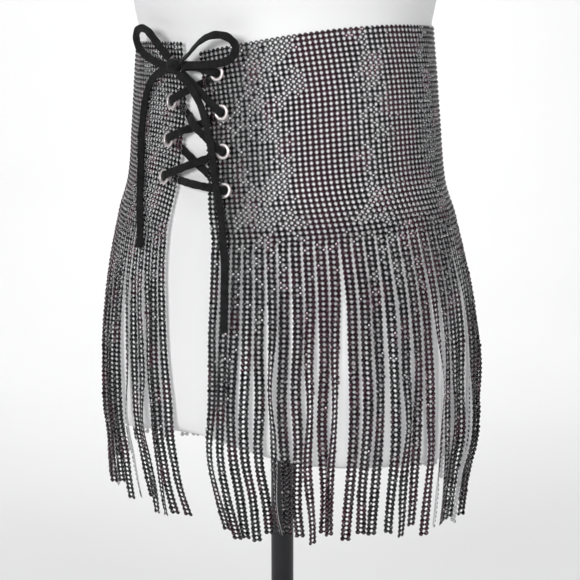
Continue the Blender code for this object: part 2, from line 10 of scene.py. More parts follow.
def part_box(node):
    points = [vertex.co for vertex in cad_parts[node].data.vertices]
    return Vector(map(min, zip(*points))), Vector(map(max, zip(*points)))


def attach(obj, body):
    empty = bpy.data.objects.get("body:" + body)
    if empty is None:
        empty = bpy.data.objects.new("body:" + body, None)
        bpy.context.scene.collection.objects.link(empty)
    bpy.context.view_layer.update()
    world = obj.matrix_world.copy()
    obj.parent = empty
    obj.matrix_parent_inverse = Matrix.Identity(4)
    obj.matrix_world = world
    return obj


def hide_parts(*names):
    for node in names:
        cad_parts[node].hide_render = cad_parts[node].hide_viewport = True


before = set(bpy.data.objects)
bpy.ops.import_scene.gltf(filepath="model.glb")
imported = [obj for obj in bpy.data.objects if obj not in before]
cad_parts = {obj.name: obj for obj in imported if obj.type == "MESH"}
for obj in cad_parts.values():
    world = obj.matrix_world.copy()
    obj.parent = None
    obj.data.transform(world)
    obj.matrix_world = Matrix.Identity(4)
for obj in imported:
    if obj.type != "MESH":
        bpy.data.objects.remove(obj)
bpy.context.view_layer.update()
print("frame loaded with", len(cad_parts), "nodes")

# Fringe belt of faceted stones on a net, laced over a white dress form on a stand.
# Metres, +Z up, the lacing faces -Y, and angles run from the front towards +X.


# Camera: level with the belt, turned 40 degrees to the wearer's left
cameraSettings = {
    "azimuth": 40.0,
    "distance": 0.987,
    "height": 0.500,
    "down": 8.6,  # degrees below level
    "aside": 0.36,  # degrees to the right of the form's axis
    "lens": 78.8,
    "sensor": 36.0,
    "clipStart": 0.05,
}


def makeCamera(settings):
    azimuth = math.radians(settings["azimuth"])
    back = Vector((math.sin(azimuth), -math.cos(azimuth), 0))
    ahead = Matrix.Rotation(-math.radians(settings["aside"]), 3, "Z") @ -back
    ahead.z = -math.tan(math.radians(settings["down"]))
    data = bpy.data.cameras.new("photoCamera")
    data.lens = settings["lens"]
    data.sensor_width = settings["sensor"]
    data.clip_start = settings["clipStart"]
    cameraObject = bpy.data.objects.new("photoCamera", data)
    cameraObject.location = back * settings["distance"] + Vector((0, 0, settings["height"]))
    cameraObject.rotation_euler = ahead.to_track_quat("-Z", "Y").to_euler()
    bpy.context.scene.collection.objects.link(cameraObject)
    bpy.context.scene.camera = cameraObject


# Outer face of the cloth, an ellipse at each height
clothShape = {
    "height": (0.170, 0.250, 0.310, 0.360, 0.390, 0.415, 0.440, 0.480, 0.520, 0.555, 0.580),
    "halfWidth": (0.1602, 0.1621, 0.1621, 0.1583, 0.1519, 0.1445, 0.1356, 0.1307, 0.1267, 0.1230, 0.1230),
    "halfDepth": (0.1154, 0.1172, 0.1178, 0.1156, 0.1128, 0.1088, 0.1034, 0.1014, 0.1000, 0.0984, 0.0984),
}

# Heights of the belt's edges by the angle in degrees, and how far the strands' tips curl in
beltLine = {
    "degrees": (2, 13, 40, 60, 82, 180, 235, 270, 315, 345, 356),
    "top": (0.5320, 0.5356, 0.5437, 0.5482, 0.5507, 0.5540, 0.5540, 0.5520, 0.5435, 0.5405, 0.5396),
    "bottom": (0.4002, 0.4010, 0.4060, 0.4096, 0.4136, 0.4190, 0.4220, 0.4200, 0.4135, 0.4078, 0.4022),
    "curl": (0.020, 0.020, 0.012, 0.009, 0.006, 0.004, 0.004, 0.003, 0.001, 0.012, 0.020),
}

# Each panel's front edge, off the centre, by the share of the way down
frontGap = {
    "down": (0.00, 0.30, 0.50, 0.75, 1.00),
    "left": (-0.0114, -0.0058, -0.0090, -0.0142, -0.0185),
    "right": (0.0054, 0.0120, 0.0138, 0.0170, 0.0258),
}


def smoothThrough(xs, ys, x):
    # cubic through the points, each slope taken from the two neighbours
    xs = np.array(xs, float)
    ys = np.array(ys, float)
    slope = np.gradient(ys, xs)
    slope[1:-1] = (ys[2:] - ys[:-2]) / (xs[2:] - xs[:-2])
    k = np.clip(np.searchsorted(xs, x, side="right") - 1, 0, len(xs) - 2)
    span = xs[k + 1] - xs[k]
    t = np.clip((x - xs[k]) / span, 0, 1)
    start = (1 + 2 * t) * (1 - t) ** 2 * ys[k] + t * (1 - t) ** 2 * span * slope[k]
    return start + t * t * (3 - 2 * t) * ys[k + 1] + t * t * (t - 1) * span * slope[k + 1]


def readShape(table, column, x):
    # a table's first column says where, the others say what
    return smoothThrough(next(iter(table.values())), table[column], np.asarray(x, float))


def easeIn(start, end, x):
    t = np.clip((np.asarray(x, float) - start) / (end - start), 0, 1)
    return t * t * (3 - 2 * t)


def unitRows(vectors):
    return vectors / np.linalg.norm(vectors, axis=-1, keepdims=True)


def ovalRing(halfWidth, halfDepth, angle, height, back=0.0):
    # places on an upright oval tube, at angles from the front
    angle, height = np.broadcast_arrays(angle, height)
    x = halfWidth * np.sin(angle)
    y = back - halfDepth * np.cos(angle)
    return np.stack([x, y, height], axis=-1)


def clothSurface(angle, height):
    halfWidth = readShape(clothShape, "halfWidth", height)
    halfDepth = readShape(clothShape, "halfDepth", height)
    return ovalRing(halfWidth, halfDepth, angle, height)


def clothNormal(angle, height):
    step = 0.001
    along = clothSurface(angle + step, height) - clothSurface(angle - step, height)
    up = clothSurface(angle, height + step) - clothSurface(angle, height - step)
    return unitRows(np.cross(along, up))


def clothPoint(angle, height, out):
    return clothSurface(angle, height) + clothNormal(angle, height) * np.asarray(out)[..., None]


def clothPlaces(angle, height):
    # places on the cloth, its normals and the level way along it
    normal = clothNormal(angle, height)
    return clothSurface(angle, height), normal, unitRows(np.cross([0.0, 0.0, 1.0], normal))


def frontAngle(across, height):
    return np.arcsin(across / readShape(clothShape, "halfWidth", height))


def clothFrame(across, height, out):
    # matrix at a place on the front, its Z off the cloth and its Y upward
    angle = frontAngle(across, height)
    turn = Vector(clothNormal(angle, height)).to_track_quat("Z", "Y").to_matrix().to_4x4()
    return Matrix.Translation(Vector(clothPoint(angle, height, out))) @ turn


def beltTop(angle):
    return readShape(beltLine, "top", np.degrees(angle) % 360)


def beltBottom(angle):
    return readShape(beltLine, "bottom", np.degrees(angle) % 360)


def edgeAngle(side, down):
    across = readShape(frontGap, side, down)
    rough = across / clothShape["halfWidth"][-1]
    height = beltTop(rough) + (beltBottom(rough) - beltTop(rough)) * down
    return frontAngle(across, height) + (0 if side == "right" else 2 * math.pi)


def edgeAcross(side, height):
    near = edgeAngle(side, 0.0)
    down = (beltTop(near) - height) / (beltTop(near) - beltBottom(near))
    return readShape(frontGap, side, down)


hemAngles = np.linspace(0, 2 * math.pi, 721)
hemPoints = clothSurface(hemAngles, beltBottom(hemAngles))
hemArcs = np.concatenate([[0.0], np.cumsum(np.linalg.norm(np.diff(hemPoints, axis=0), axis=1))])


def arcToAngle(arc):
    return np.interp(arc, hemArcs, hemAngles)


def angleToArc(angle):
    return np.interp(angle, hemAngles, hemArcs)


firstArc = float(angleToArc(edgeAngle("right", 1.0)))
lastArc = float(angleToArc(edgeAngle("left", 1.0)))


def panelAngle(fraction, down):
    # angle at a fraction of the way round, from the right front edge to the left one
    atHem = arcToAngle(firstArc + (lastArc - firstArc) * fraction)
    shiftRight = edgeAngle("right", down) - edgeAngle("right", 1.0)
    shiftLeft = edgeAngle("left", down) - edgeAngle("left", 1.0)
    return atHem + shiftRight * (1 - fraction) + shiftLeft * fraction


# Lace: flat suede, knotted in a bow and led through the eyelets
laceSettings = {
    "width": 0.0055,
    "thick": 0.0015,
    "crown": 0.00012,
    "rounding": 0.00035,
    "samples": 5,  # steps between two places of a route
    "acrossSteps": 6,
    "over": 0.00115,
    "under": -0.00435,
    "edgeMargin": 0.002,
    "gapStops": (0.06, 0.3, 0.5, 0.84, 1.0),
    "wander": 0.00016,
    "wanderTurns": (0.9, 1.3),  # radians a step, of the edges and of the lift
    "liftShare": 0.4,
    "sharp": 50,  # degrees, at and above which an edge is rounded
}

# Past the bore's centre, and off the cloth
fromFront = (
    (-0.0055, 0.00240),
    (-0.0026, 0.00245),
    (-0.0002, 0.00130),
    (0.0009, -0.00020),
    (0.0010, -0.00140),
    (0.0010, -0.00300),
)
fromBack = (
    (-0.0055, -0.00435),
    (0.0032, -0.00435),
)

# Name, left eyelet and face, right eyelet and face, heights off the cloth across the gap
lacingStretches = (
    ("lacing_1", 1, "front", 0, "back", (0.0011, 0.0004, -0.0006, -0.0030, -0.0037)),
    ("lacing_2", 1, "back", 2, "front", (-0.0041, -0.0012, 0.0005, 0.0011, 0.00115)),
    ("lacing_3", 3, "front", 2, "back", (0.0011, 0.0005, -0.0005, -0.0023, -0.0036)),
    ("lacing_4", 3, "back", 3, "front", (-0.0040, -0.0015, 0.0000, 0.0010, 0.0011)),
    ("lacing_5", 2, "back", 3, "back", (-0.00435, -0.00435, -0.00435, -0.00435, -0.00435)),
    ("lacing_6", 2, "front", 1, "back", (0.0016, -0.0030, -0.0039, -0.0043, -0.00435)),
)

# Routes of the lace from the knot: off the centre, height, off the cloth
knotToEyelet = {
    "lacing_top": {"row": 0, "route": ((-0.0060, 0.5217, 0.00115), (0.0080, 0.5210, 0.00120))},
    "lacing_second": {"row": 1, "route": ((-0.0066, 0.5180, 0.0029), (0.0080, 0.5070, 0.0029))},
}
laceRoutes = {
    "tail_right": (
        (-0.0086, 0.5162, 0.0048), (-0.0020, 0.5132, 0.0048), (0.0056, 0.5062, 0.0048),
        (0.0139, 0.4938, 0.0048), (0.0193, 0.4793, 0.0048), (0.0229, 0.4655, 0.0048),
        (0.0253, 0.4524, 0.0048), (0.0280, 0.4385, 0.0046), (0.0335, 0.4200, 0.0024),
        (0.0374, 0.4037, 0.0018), (0.0414, 0.3773, 0.0020), (0.0429, 0.3506, 0.0024),
        (0.0433, 0.3380, 0.0026),
    ),
    "tail_left": (
        (-0.0198, 0.5205, 0.0026), (-0.0290, 0.5185, 0.0026), (-0.0385, 0.5160, 0.0018),
        (-0.0491, 0.5072, 0.0013), (-0.0558, 0.4915, 0.0013), (-0.0593, 0.4727, 0.0013),
        (-0.0596, 0.4541, 0.0013), (-0.0577, 0.4349, 0.0013), (-0.0510, 0.4171, 0.0016),
        (-0.0460, 0.4000, 0.0018), (-0.0448, 0.3904, 0.0020),
    ),
    "loop_right": (
        (-0.0044, 0.5248, 0.0062), (0.0028, 0.5294, 0.0064), (0.0081, 0.5340, 0.0068),
        (0.0145, 0.5385, 0.0076), (0.0217, 0.5414, 0.0086), (0.0284, 0.5423, 0.0090),
        (0.0350, 0.5411, 0.0088), (0.0395, 0.5379, 0.0082), (0.0416, 0.5336, 0.0072),
        (0.0402, 0.5291, 0.0062), (0.0356, 0.5254, 0.0055), (0.0282, 0.5233, 0.0051),
        (0.0158, 0.5227, 0.0048), (-0.0044, 0.5226, 0.0046),
    ),
    "loop_left": (
        (-0.0150, 0.5275, 0.0068), (-0.0192, 0.5314, 0.0074), (-0.0258, 0.5377, 0.0086),
        (-0.0310, 0.5430, 0.0096), (-0.0360, 0.5473, 0.0104), (-0.0418, 0.5495, 0.0108),
        (-0.0482, 0.5490, 0.0106), (-0.0529, 0.5461, 0.0098), (-0.0547, 0.5418, 0.0088),
        (-0.0533, 0.5368, 0.0076), (-0.0479, 0.5320, 0.0064), (-0.0387, 0.5276, 0.0054),
        (-0.0277, 0.5241, 0.0048), (-0.0180, 0.5226, 0.0046),
    ),
}

# Where a lace turns about its own length: degrees at each place of its route
laceTurns = {
    "loop_right": (44, 42, 39, 33, 24, 14, 6, 0, 0, 0, 0, 0, 0, 0),
    "loop_left": (-18, -28, -32, -28, -12, 8, 24, 32, 35, 34, 30, 24, 12, 0),
    "tail_left": (0, 0, 10, 26, 34, 38, 40, 40, 36, 34, 32),
}


# Finishes: constants of the shader, a mottle between two colours, and a grain for roughness and bump
finishes = {
    "darkNetFace": {
        "sockets": {"Roughness": 0.65, "Specular IOR Level": 0.12},
        "mottle": (420.0, 2.0),  # scale and detail
        "colours": ((0.3, (0.003, 0.003, 0.0035)), (0.7, (0.007, 0.007, 0.0075))),
        "bump": (0.0001, 1.0),  # distance and strength
    },
    "silverNetBack": {
        "sockets": {"Roughness": 0.45, "Specular IOR Level": 0.5},
        "mottle": (420.0, 2.0),
        "colours": ((0.3, (0.70, 0.70, 0.71)), (0.7, (0.78, 0.78, 0.79))),
        "bump": (0.0001, 1.0),
    },
    "blackSuede": {
        "sockets": {
            "Roughness": 0.95, "Sheen Weight": 0.10, "Sheen Roughness": 0.5, "Specular IOR Level": 0.12},
        "mottle": (260.0, 2.0),
        "colours": ((0.30, (0.008, 0.008, 0.0085)), (0.72, (0.018, 0.018, 0.019))),
        "grain": (2600.0, 4.0),
        "bump": (0.00012, 0.7),
    },
    "nickelPlate": {
        "sockets": {"Metallic": 0.72},
        "mottle": (900.0, 3.0),
        "colours": ((0.25, (0.74, 0.67, 0.67)), (0.75, (0.90, 0.84, 0.84))),
        "roughness": (0.30, 0.48),
    },
    "whiteSatinShell": {
        "sockets": {"Specular IOR Level": 0.35},
        "mottle": (7.0, 2.0),
        "colours": ((0.3, (0.92, 0.92, 0.925)), (0.7, (0.945, 0.945, 0.95))),
        "grain": (900.0, 3.0),
        "roughness": (0.44, 0.60),
        "bump": (0.00003, 0.5),
    },
    "blackPowderCoat": {
        "sockets": {"Specular IOR Level": 0.45},
        "mottle": (1400.0, 2.0),
        "colours": ((0.3, (0.010, 0.010, 0.012)), (0.7, (0.021, 0.021, 0.024))),
        "roughness": (0.34, 0.52),
        "bump": (0.00005, 0.6),
    },
    "paleFloor": {
        "sockets": {"Roughness": 0.85, "Specular IOR Level": 0.1},
        "mottle": (1.2, 2.0),
        "colours": ((0.3, (0.83, 0.83, 0.835)), (0.7, (0.86, 0.86, 0.862))),
    },
}
glassSettings = {
    "sockets": {"Roughness": 0.04, "IOR": 1.8},
    "jet": (
        (0.0, (0.002, 0.002, 0.0025)),
        (0.60, (0.004, 0.004, 0.0045)),
        (0.92, (0.005, 0.009, 0.008)),
        (1.0, (0.018, 0.016, 0.018)),
    ),
    # painted plum reflection: a colour added to the stones' base, and a pink tint painted on their glints
    "plum": ((0.0, (0.0, 0.0, 0.0)), (1.0, (0.042, 0.008, 0.018))),
    "paintedPlumGlintTint": ((0.0, (1.0, 1.0, 1.0)), (1.0, (1.0, 0.80, 0.87))),
}


def newMaterial(name, sockets):
    material = bpy.data.materials.new(name)
    material.use_nodes = True
    shader = material.node_tree.nodes["Principled BSDF"]
    for socket, value in sockets.items():
        shader.inputs[socket].default_value = value
    return material, material.node_tree, shader


def addNode(tree, kind, output, constants, **sources):
    # a shader node with its constants, linked from its sources, and the output that it gives
    node = tree.nodes.new("ShaderNode" + kind)
    for socket, value in constants.items():
        node.inputs[socket].default_value = value
    for socket, source in sources.items():
        tree.links.new(source, node.inputs[socket])
    return node.outputs[output]


def addNoise(tree, scale, detail):
    places = addNode(tree, "TexCoord", "Object", {})
    return addNode(tree, "TexNoise", "Fac", {"Scale": scale, "Detail": detail}, Vector=places)


def addAttribute(tree, name):
    attribute = tree.nodes.new("ShaderNodeAttribute")
    attribute.attribute_name = name
    return attribute.outputs["Fac"]


def addRamp(tree, source, stops):
    ramp = tree.nodes.new("ShaderNodeValToRGB")
    elements = ramp.color_ramp.elements
    while len(elements) < len(stops):
        elements.new(0.5)
    for element, (position, colour) in zip(elements, stops):
        element.position = position
        element.color = (*colour, 1)
    tree.links.new(source, ramp.inputs["Fac"])
    return ramp.outputs["Color"]


def makeFinish(name):
    finish = finishes[name]
    material, tree, shader = newMaterial(name, finish["sockets"])
    mottle = addNoise(tree, *finish["mottle"])
    tree.links.new(addRamp(tree, mottle, finish["colours"]), shader.inputs["Base Color"])
    grain = addNoise(tree, *finish["grain"]) if "grain" in finish else mottle
    if "roughness" in finish:
        low, high = finish["roughness"]
        rough = addNode(tree, "MapRange", "Result", {"To Min": low, "To Max": high}, Value=grain)
        tree.links.new(rough, shader.inputs["Roughness"])
    if "bump" in finish:
        distance, strength = finish["bump"]
        bump = addNode(tree, "Bump", "Normal", {"Distance": distance, "Strength": strength}, Height=grain)
        tree.links.new(bump, shader.inputs["Normal"])
    return material


def makeStoneGlass():
    # jet glass, one tint a stone, with a painted plum reflection added to its colour and a painted pink tint
    # on its glints, by each stone's share of the painted plum reflection
    settings = glassSettings
    material, tree, shader = newMaterial("jetStoneGlass", settings["sockets"])
    cast = addAttribute(tree, "paintedPlumReflection")
    mix = tree.nodes.new("ShaderNodeMix")
    mix.data_type = "RGBA"
    mix.blend_type = "ADD"
    mix.inputs["Factor"].default_value = 1.0
    tree.links.new(addRamp(tree, addAttribute(tree, "stoneTint"), settings["jet"]), mix.inputs["A"])
    tree.links.new(addRamp(tree, cast, settings["plum"]), mix.inputs["B"])
    tree.links.new(mix.outputs["Result"], shader.inputs["Base Color"])
    tree.links.new(addRamp(tree, cast, settings["paintedPlumGlintTint"]), shader.inputs["Specular Tint"])
    return material


# Making and placing pieces
def finishPiece(name, mesh, materials, cadNode):
    for material in materials:
        mesh.materials.append(material)
    piece = bpy.data.objects.new(name, mesh)
    bpy.context.scene.collection.objects.link(piece)
    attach(piece, "root")
    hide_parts(cadNode)
    return piece


def meshFrom(bm, name, smooth, sharp):
    mesh = bpy.data.meshes.new(name)
    bm.normal_update()
    bm.to_mesh(mesh)
    bm.free()
    if smooth:
        mesh.shade_smooth()
    if sharp:
        mesh.set_sharp_from_angle(angle=math.radians(sharp))
    return mesh


def buildPiece(name, bm, materials, cadNode, smooth=True, sharp=None):
    # edges of more than the sharp angle, in degrees, stay sharp
    return finishPiece(name, meshFrom(bm, name, smooth, sharp), materials, cadNode)


def moveVerts(verts, places):
    for vert, place in zip(verts, places):
        vert.co = place


def vertsOf(geom):
    return [part for part in geom if isinstance(part, bmesh.types.BMVert)]


def smoothRoute(places, samples):
    keys = np.arange(len(places))
    at = np.linspace(0, len(places) - 1, (len(places) - 1) * samples + 1)
    columns = np.array(places).T
    return np.stack([smoothThrough(keys, column, at) for column in columns], axis=-1)


def routePoints(route):
    angle = frontAngle(route[:, 0], route[:, 1])
    return clothPoint(angle, route[:, 1], route[:, 2]), clothNormal(angle, route[:, 1])


def thickenSuede(piece, thick):
    wall = piece.modifiers.new("thickness", "SOLIDIFY")
    wall.thickness = thick
    wall.offset = 0.0
    rounding = piece.modifiers.new("rounding", "BEVEL")
    rounding.width = laceSettings["rounding"]
    rounding.segments = 2
    rounding.limit_method = "ANGLE"
    rounding.angle_limit = math.radians(laceSettings["sharp"])


def layLace(name, places, material, straight):
    # a strip of suede along a route, its face along the cloth but where it turns
    settings = laceSettings
    route = smoothRoute(places, settings["samples"])
    points, normals = routePoints(route)
    runs = np.gradient(points, axis=0)
    if straight:
        runs = runs * 0 + (points[-1] - points[0])
    sides = unitRows(np.cross(runs, normals))
    faces = unitRows(np.cross(sides, np.gradient(points, axis=0)))
    turns = [(turn,) for turn in laceTurns.get(name, (0,) * len(places))]
    turn = np.radians(smoothRoute(turns, settings["samples"]))
    turnedSides = sides * np.cos(turn) + faces * np.sin(turn)
    turnedFaces = faces * np.cos(turn) - sides * np.sin(turn)
    rng = random.Random(name)
    phases = [rng.uniform(0, 2 * math.pi) for _ in range(2)]
    count = len(points)
    bm = bmesh.new()
    bmesh.ops.create_grid(bm, x_segments=count - 1, y_segments=settings["acrossSteps"], size=0.5)
    bmesh.ops.transform(bm, matrix=Matrix.Translation((0.5, 0, 0)), verts=bm.verts)
    edgeTurn, liftTurn = settings["wanderTurns"]
    for vert in bm.verts:
        k = min(int(round(vert.co.x * (count - 1))), count - 1)
        across = vert.co.y
        edge = settings["wander"] * math.sin(k * edgeTurn + phases[0]) * across * 2
        aside = across * settings["width"] + edge
        ripple = settings["wander"] * settings["liftShare"] * math.sin(k * liftTurn + phases[1])
        lift = settings["crown"] * (1 - 4 * across ** 2) + ripple
        vert.co = Vector(points[k]) + Vector(turnedSides[k]) * aside + Vector(turnedFaces[k]) * lift
    lace = buildPiece(name + "_suede", bm, [material], name)
    thickenSuede(lace, settings["thick"])
    return lace, points


def eyeletPlace(side, row):
    settings = eyeletSettings
    height = float(beltTop(edgeAngle(side, 0.0))) - settings["first"] - settings["pitch"] * row
    inset = settings["insetRight"] if side == "right" else -settings["insetLeft"]
    return Vector((float(edgeAcross(side, height)) + inset, height))


def stretchPlaces(left, leftFace, right, rightFace, outs):
    # straight across the gap from a left eyelet to a right one
    settings = laceSettings
    start = eyeletPlace("left", left)
    end = eyeletPlace("right", right)
    length = (end - start).length
    run = (end - start) / length
    meets = {"front": fromFront, "back": fromBack}
    level = {"front": settings["over"], "back": settings["under"]}

    def at(distance, out):
        spot = start + run * distance
        return (spot.x, spot.y, out)

    def edgeDistance(side, guess):
        distance = guess
        for _ in range(4):
            spot = start + run * distance
            distance += (float(edgeAcross(side, spot.y)) - spot.x) / run.x
        return distance

    leave = edgeDistance("left", 0.3 * length)
    arrive = edgeDistance("right", 0.7 * length)
    places = [at(-along, out) for along, out in reversed(meets[leftFace])]
    places.append(at(leave - settings["edgeMargin"], level[leftFace]))
    for share, out in zip(settings["gapStops"], outs):
        places.append(at(leave + (arrive - leave) * share, out))
    places.append(at(arrive + settings["edgeMargin"], level[rightFace]))
    places += [at(length + along, out) for along, out in meets[rightFace]]
    return places


def intoEyelet(route, row):
    end = eyeletPlace("right", row)
    start = Vector(route[-1][:2])
    run = (end - start).normalized()
    spots = [(end + run * along, out) for along, out in fromFront]
    return list(route) + [(spot.x, spot.y, out) for spot, out in spots]


def makeLaces(suede):
    for name in ("tail_right", "tail_left"):
        tail, points = layLace(name, laceRoutes[name], suede, False)
    for name in ("loop_right", "loop_left"):
        layLace(name, laceRoutes[name], suede, False)
    for name, left, leftFace, right, rightFace, outs in lacingStretches:
        layLace(name, stretchPlaces(left, leftFace, right, rightFace, outs), suede, True)
    for name, start in knotToEyelet.items():
        layLace(name, intoEyelet(start["route"], start["row"]), suede, True)
    makeKnot(suede)


# Knot of the bow: a rounded core with the lace wrapped once over it
knotSettings = {
    "place": (-0.0121, 0.5225, 0.0050),
    "core": (0.0100, 0.0084, 0.0068),
    "wrapTilt": 24,  # degrees
    "wrapWidth": 0.0052,
    "wrapProud": 0.0007,
    "wrapHug": (0.86, 0.90),  # share of the core's own half sizes
    "wrapThick": 0.0012,
    "wrapSteps": 40,
    "cuts": 3,
    "smoothing": 5,  # passes that round the core
    "swell": 1.22,  # makes up for what they take off
}


def makeKnot(suede):
    settings = knotSettings
    bm = bmesh.new()
    bmesh.ops.create_cube(bm, size=1.0)
    bmesh.ops.scale(bm, vec=settings["core"], verts=bm.verts)
    bmesh.ops.subdivide_edges(bm, edges=bm.edges, cuts=settings["cuts"], use_grid_fill=True)
    for _ in range(settings["smoothing"]):
        bmesh.ops.smooth_vert(
            bm, verts=bm.verts, factor=0.5, use_axis_x=True, use_axis_y=True, use_axis_z=True)
    place = clothFrame(*settings["place"]) @ Matrix.Scale(settings["swell"], 4)
    bmesh.ops.transform(bm, matrix=place, verts=bm.verts)
    knot = buildPiece("lace_knot_suede", bm, [suede], "lace_knot")
    rounding = knot.modifiers.new("rounding", "SUBSURF")
    rounding.levels = 2
    rounding.render_levels = 2
    wrapKnot(suede)


def wrapKnot(suede):
    settings = knotSettings
    bm = bmesh.new()
    bmesh.ops.create_circle(bm, segments=settings["wrapSteps"], radius=1.0)
    band = bmesh.ops.extrude_edge_only(bm, edges=bm.edges)["geom"]
    bmesh.ops.translate(bm, vec=(0, 0, 1), verts=vertsOf(band))
    bmesh.ops.translate(bm, vec=(0, 0, -0.5), verts=bm.verts)
    reach = Vector((settings["core"][2], settings["core"][1])) / 2
    grow = settings["wrapProud"]
    hugOut, hugUp = settings["wrapHug"]
    size = Matrix.Diagonal((reach.x * hugOut + grow, reach.y * hugUp + grow, settings["wrapWidth"], 1))
    upright = Matrix.Rotation(math.radians(90), 4, "Y")
    tilt = Matrix.Rotation(math.radians(settings["wrapTilt"]), 4, "Z")
    place = clothFrame(*settings["place"]) @ tilt @ upright @ size
    bmesh.ops.transform(bm, matrix=place, verts=bm.verts)
    wrap = buildPiece("lace_knot_wrap", bm, [suede], "lace_knot")
    thickenSuede(wrap, settings["wrapThick"])


# Eyelets: a rolled ring in front, a barrel and a flange behind
eyeletSettings = {
    "rows": 4,
    "first": 0.0150,
    "pitch": 0.0271,
    "insetLeft": 0.0140,
    "insetRight": 0.0155,
    "bore": 0.00335,
    "ring": 0.0057,
    "barrel": 0.0044,
    "proud": 0.0013,
    "seam": 0.0003,
    "wall": 0.0024,
    "flange": 0.0055,
    "flangeThick": 0.00055,
    "steps": 48,
    "rollSteps": 10,
    "rollPower": 0.6,  # under 1 makes the roll fuller
    "sharp": 50,  # degrees, at and above which an edge stays sharp
    "netClear": 0.0009,  # from the barrel to the nearest pad's middle
    "stoneClear": 0.72,  # of a stone's radius, from the ring to its middle
}


def eyeletFrame(side, row):
    return clothFrame(*eyeletPlace(side, row), 0.0)


weldGap = 0.000005


def turnProfile(profile, steps, matrix):
    # solid of revolution about Z from a closed or a pole-to-pole profile
    bm = bmesh.new()
    verts = [bm.verts.new((radius, 0, height)) for radius, height in profile]
    ends = verts[1:] if profile[0][0] == 0 else verts[1:] + verts[:1]
    edges = [bm.edges.new(pair) for pair in zip(verts, ends)]
    bmesh.ops.spin(
        bm, geom=verts + edges, cent=(0, 0, 0), axis=(0, 0, 1), angle=2 * math.pi,
        steps=steps, use_merge=True)
    bmesh.ops.remove_doubles(bm, verts=bm.verts, dist=weldGap)
    bmesh.ops.recalc_face_normals(bm, faces=bm.faces)
    bmesh.ops.transform(bm, matrix=matrix, verts=bm.verts)
    return bm


def makeEyelets(nickel):
    settings = eyeletSettings
    middle = (settings["bore"] + settings["ring"]) / 2
    half = (settings["ring"] - settings["bore"]) / 2
    back = -settings["wall"] - settings["seam"]
    lift = settings["proud"] - settings["seam"]
    profile = []
    for k in range(settings["rollSteps"] + 1):
        turn = math.pi * k / settings["rollSteps"]
        height = settings["seam"] + lift * math.sin(turn) ** settings["rollPower"]
        profile.append((middle - half * math.cos(turn), height))
    profile += [
        (settings["barrel"], settings["seam"]),
        (settings["barrel"], back),
        (settings["flange"], back),
        (settings["flange"], back - settings["flangeThick"]),
        (settings["bore"], back - settings["flangeThick"]),
    ]
    for side in ("left", "right"):
        for row in range(settings["rows"]):
            bm = turnProfile(profile, settings["steps"], eyeletFrame(side, row))
            node = f"eyelet_{side}_{row + 1}"
            buildPiece(node + "_ring", bm, [nickel], node, sharp=settings["sharp"])


# Stone mesh: a grid of round stones on a net whose holes lie between four stones
stoneMesh = {
    "columns": 176,
    "beltRows": 37,
    "stripRows": 2,
    "across": 0.00415,
    "down": 0.00350,
    "hole": 0.00150,  # from a hole's middle to its corner
    "strandHole": 0.00140,
    "netThick": 0.0003,
    "netDepth": 0.00175,  # the net's face lies this far inside the cloth's outer face
    "stone": 0.00157,  # radius
    "table": 0.42,  # share of the radius
    "stoneHeight": 0.00076,
    "sides": 8,
    "seat": 0.00005,  # the net's face and the stone's underside lie this far apart
    "sizeSpread": 0.025,
    "tilt": 2.2,  # degrees, at random
    "strandTilt": 8.0,
    # size in degrees, length round, length down and phase
    "waves": ((2.6, 0.060, 0.090, 0.4), (2.0, -0.034, 0.047, 2.1), (1.6, 0.110, -0.030, 4.4)),
    "waveRadius": 0.15,
    "waveAhead": (2.5, 0.5),  # start and share of the waves that lean a stone up or down
    # painted plum reflection: where it lies round the belt, how strong it is, and its patches
    "plumReflectionAt": ((53, 9), (81, 4.5), (118, 8), (215, 12), (300, 9)),  # degrees round, and how wide
    "plumReflectionStrength": 0.85,
    "patches": {"start": 1.7, "from": 1.2, "full": 4.2, "strength": 0.8},
    "stripHeight": 0.0070,
    "seed": 7,
}

# Strands, as they hang in the solids
strandSettings = {
    "count": 88,
    "width": 0.0074,
    "length": 0.218,
    "uneven": 0.006,
    "apart": 0.0008,
    "wander": 0.0008,
    "driftEnd": 0.60,
    "passes": 60,
    "curlStart": 0.66,
    "curlPower": 1.5,
    "curlUneven": 0.25,
    "twistStart": 0.04,
    "twistEnd": 0.55,
    "twistMost": 50,
    "twistShare": 0.85,
    "twistSlight": 0.40,
    "twistWave": 0.20,
    "looseFrom": (0.10, 0.60),  # share of the length over which sway and waves grow
    "waveCount": (1.2, 2.6),
    "turnedIn": 0.45,  # of the width that a turned strand stands off the form
    "turnedInEnd": (0.70, 0.85),
    "partingReach": 0.030,
    "swingPush": 0.011,
    "swingReach": 0.050,
    "halfColumn": 0.00212,
    "netHalf": 0.0038,
    "sway": 0.0005,
    "swayAside": 0.0013,
    "lean": 0.0020,
    "leanTogether": 0.0062,
    "leanLengths": (5.3, 11.0, 23.0),  # strands
    "leanStart": 0.12,
    "leanPower": 1.6,
    "blendRows": (-0.2, 2.0),  # where the strip's shape gives way to the strand's
    "apartOut": 0.0016,
    "towardsCamera": (0.42, 24.0),  # radians at the left front edge, and strands that it reaches
    "wildShare": 0.03,
    "wildTurn": 150,
    "seed": 41,
}
partings = {
    "degrees": (20, 34, 50, 64, 96, 140, 190, 238, 290, 334),
    "opening": (0.003, 0.003, 0.006, 0.005, 0.003, 0.004, 0.004, 0.004, 0.003, 0.004),
}


